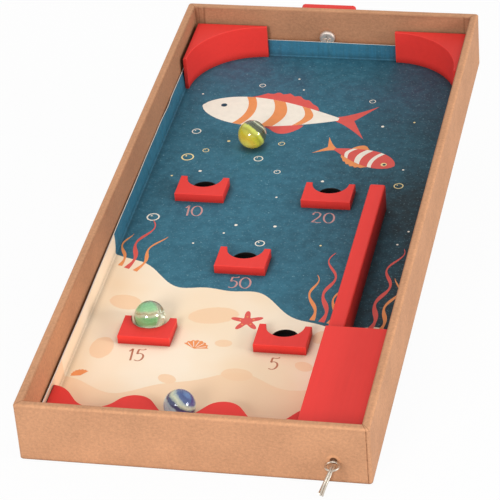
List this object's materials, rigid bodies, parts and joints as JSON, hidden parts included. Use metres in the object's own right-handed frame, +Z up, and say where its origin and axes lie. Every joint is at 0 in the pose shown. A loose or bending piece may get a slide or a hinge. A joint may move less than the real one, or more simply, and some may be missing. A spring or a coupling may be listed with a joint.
{
  "type": "tabletop pinball game",
  "caption": "Sloped shallow tray with marble cups, a launching lane and a sprung plunger with a pull ring, propped up at the back by a swinging leg.",
  "frame": {"origin": "middle of the bounding box's bottom, on the table", "axes": "+Z up, +Y from the player towards the raised back end, +X to the player's right"},
  "size_m": [0.172, 0.4188, 0.0896],
  "materials": {
    "kraft_wrap": "brown kraft paper glued over board",
    "board": "plain grey-brown board",
    "printed_card": "matt print on thin card, white cut edges",
    "red_paint": "satin red paint on wood",
    "plain_wood": "plain turned beech",
    "felt": "dense black felt",
    "steel": "drawn wire and pressed washers",
    "steel_plated": "bright plated",
    "blue_glass": "clear glass with a blue and cream twist",
    "green_glass": "clear glass with a green twist",
    "yellow_glass": "clear glass with a yellow-green twist"
  },
  "bodies": {
    "tray": {"base_board": "board", "deck_board": "board", "front_wall": "kraft_wrap", "back_wall": "kraft_wrap", "left_wall": "kraft_wrap", "right_wall": "kraft_wrap", "print_card": "printed_card", "left_deflector": "red_paint", "right_deflector": "red_paint", "cup_10": "red_paint", "cup_20": "red_paint", "cup_50": "red_paint", "cup_15": "red_paint", "cup_5": "red_paint", "lane_divider": "red_paint", "plunger_housing": "red_paint", "scalloped_rail": "red_paint", "plunger_spring": "steel", "spring_seat_washer": "steel", "pivot_bolt": "steel_plated", "inner_washer": "steel", "outer_washer": "steel", "pivot_nut": "steel_plated"},
    "plunger": {"striker": "plain_wood", "striker_bumper": "felt", "plunger_wire": "steel"},
    "pull_ring": {"split_ring": "steel_plated"},
    "leg": {"back_leg": "red_paint"},
    "blue_marble": {"blue_marble": "blue_glass"},
    "green_marble": {"green_marble": "green_glass"},
    "yellow_marble": {"yellow_marble": "yellow_glass"}
  },
  "joints": [
    {"name": "plunger_pull", "type": "slide", "parent": "tray", "child": "plunger", "axis": [0, -0.9891, -0.147], "range_m": [0, 0.025], "stiffness_N_per_m": 160, "springref_m": -0.012, "deforming": ["plunger_spring"]},
    {"name": "ring_swing", "type": "hinge", "parent": "plunger", "child": "pull_ring", "pos_m": [0.068, -0.19953, 0.01167], "axis": [-1, 0, 0], "range_deg": [0, 90]},
    {"name": "leg_swing", "type": "hinge", "parent": "tray", "child": "leg", "pos_m": [-0.0029, 0.19619, 0.0731], "axis": [0, 0.9891, 0.147], "range_deg": [-90, 90]},
    {"name": "blue_marble_lift", "type": "slide", "parent": "tray", "child": "blue_marble", "axis": [0, -0.147, 0.9891], "range_m": [0, 0.06]},
    {"name": "green_marble_lift", "type": "slide", "parent": "tray", "child": "green_marble", "axis": [0, -0.147, 0.9891], "range_m": [0, 0.06]},
    {"name": "yellow_marble_lift", "type": "slide", "parent": "tray", "child": "yellow_marble", "axis": [0, -0.147, 0.9891], "range_m": [0, 0.06]}
  ]
}
